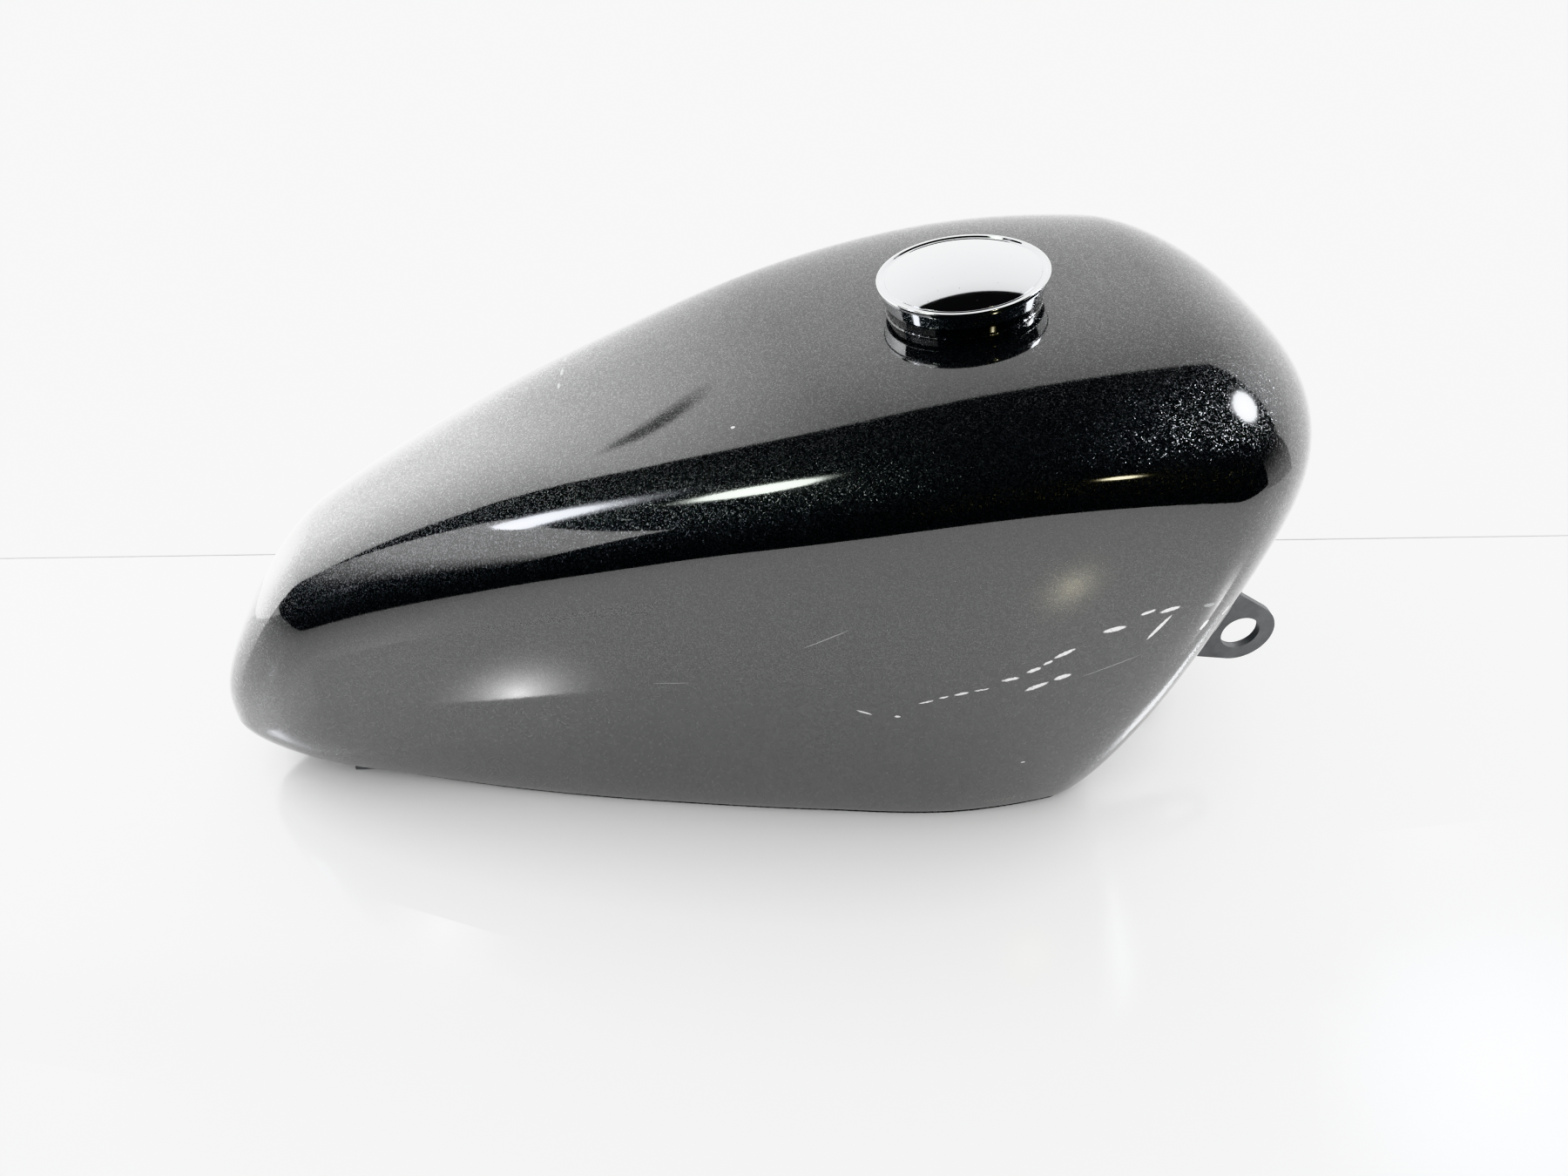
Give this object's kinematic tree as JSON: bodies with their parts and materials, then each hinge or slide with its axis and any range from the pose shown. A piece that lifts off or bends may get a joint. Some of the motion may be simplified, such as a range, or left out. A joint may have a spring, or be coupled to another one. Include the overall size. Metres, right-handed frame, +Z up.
{
  "type": "motorcycle fuel tank",
  "caption": "Black teardrop motorcycle fuel tank with a frame tunnel underneath, front ears, rear tab, petcock bung and a domed chrome screw cap with a spring vent valve",
  "frame": {"origin": "On the surface the tank stands on, under the middle of its length, on the centreline", "axes": "+X points forward to the nose, +Y to the rider's left, +Z up"},
  "size_m": [0.508, 0.231, 0.2493],
  "materials": {
    "paint": "gloss metallic black with fine flake and light orange peel",
    "ear_paint": "satin dark grey paint",
    "bare_steel": "zinc plated steel",
    "chrome": "mirror chrome",
    "plug_plastic": "moulded black",
    "felt": "grey felt",
    "brass": "turned brass",
    "rubber": "black fuel-resistant rubber"
  },
  "bodies": {
    "tank": {"right_shell": "paint", "left_shell": "paint", "tunnel_pan": "paint", "right_front_ear": "ear_paint", "left_front_ear": "ear_paint", "rear_mount_tab": "ear_paint", "petcock_bung": "bare_steel", "filler_neck": "paint"},
    "gasket": {"cap_gasket": "rubber"},
    "cap": {"cap_cover": "chrome", "cap_plug": "plug_plastic", "ratchet_ring": "bare_steel", "vent_filter": "felt", "vent_spring": "bare_steel", "cap_retainer": "bare_steel", "retainer_screws": "bare_steel"},
    "valve": {"vent_valve": "brass"}
  },
  "joints": [
    {"name": "cap_rise", "type": "slide", "parent": "tank", "child": "gasket", "axis": [-0.134, 0, 0.991], "range_m": [0, 0.02]},
    {"name": "cap_turn", "type": "hinge", "parent": "gasket", "child": "cap", "pos_m": [0.093, 0, 0.2313], "axis": [-0.134, 0, 0.991], "range_deg": [0, 900]},
    {"name": "vent_open", "type": "slide", "parent": "cap", "child": "valve", "axis": [0.134, 0, -0.991], "range_m": [0, 0.0012], "stiffness_N_per_m": 60, "springref_m": -0.002, "deforming": ["vent_spring"]}
  ],
  "couplings": [
    {"joint": "cap_turn", "follows": "cap_rise", "rad_per_m": 785.4}
  ]
}
